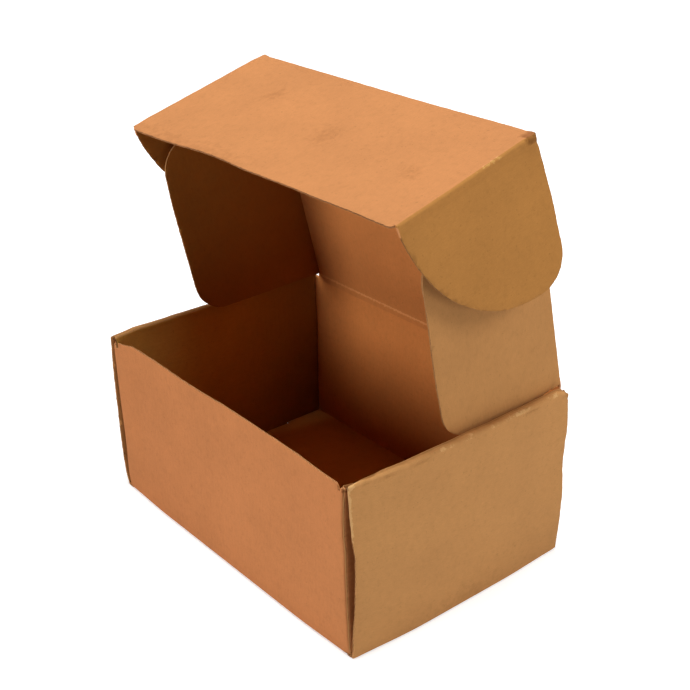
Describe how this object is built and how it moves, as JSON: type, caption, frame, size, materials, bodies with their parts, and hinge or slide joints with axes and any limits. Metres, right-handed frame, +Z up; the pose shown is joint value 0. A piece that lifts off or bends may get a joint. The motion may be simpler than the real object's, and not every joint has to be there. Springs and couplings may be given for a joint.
{
  "type": "shipping box",
  "caption": "Brown corrugated shipping box with roll-over side walls, standing with its hinged lid, lid side flaps and tuck flap with round ears half open.",
  "frame": {"origin": "centre of the base, on the surface that the box stands on", "axes": "+X to the box's right side wall, -Y to the front wall where the lid tucks in, +Z up"},
  "size_m": [0.2566, 0.166, 0.2712],
  "materials": {
    "kraft_board": "matt brown kraft liner on fine-flute corrugated board"
  },
  "bodies": {
    "tray": {"tray": "kraft_board"},
    "lid_panel": {"lid_panel": "kraft_board"},
    "lid_side_flap_right": {"lid_side_flap_right": "kraft_board"},
    "lid_side_flap_left": {"lid_side_flap_left": "kraft_board"},
    "tuck_flap": {"tuck_flap": "kraft_board"},
    "tuck_ear_right": {"tuck_ear_right": "kraft_board"},
    "tuck_ear_left": {"tuck_ear_left": "kraft_board"}
  },
  "joints": [
    {"name": "lid_hinge", "type": "hinge", "parent": "tray", "child": "lid_panel", "pos_m": [0, 0.08225, 0.11325], "axis": [-1, 0, 0], "range_deg": [-38, 104.5]},
    {"name": "tuck_flap_fold", "type": "hinge", "parent": "lid_panel", "child": "tuck_flap", "pos_m": [0, 0.04159, 0.27048], "axis": [-1, 0, 0], "range_deg": [-12, 91]},
    {"name": "side_flap_right_fold", "type": "hinge", "parent": "lid_panel", "child": "lid_side_flap_right", "pos_m": [0.11115, 0.08152, 0.11306], "axis": [0, -0.2504, 0.9681], "range_deg": [-88, 0]},
    {"name": "side_flap_left_fold", "type": "hinge", "parent": "lid_panel", "child": "lid_side_flap_left", "pos_m": [-0.11115, 0.08152, 0.11306], "axis": [0, 0.2504, -0.9681], "range_deg": [-88, 0]},
    {"name": "ear_right_fold", "type": "hinge", "parent": "tuck_flap", "child": "tuck_ear_right", "pos_m": [0.11375, 0.04159, 0.27048], "axis": [0, -0.9636, -0.2672], "range_deg": [-9, 80]},
    {"name": "ear_left_fold", "type": "hinge", "parent": "tuck_flap", "child": "tuck_ear_left", "pos_m": [-0.11375, 0.04159, 0.27048], "axis": [0, 0.9636, 0.2672], "range_deg": [-9, 80]}
  ]
}
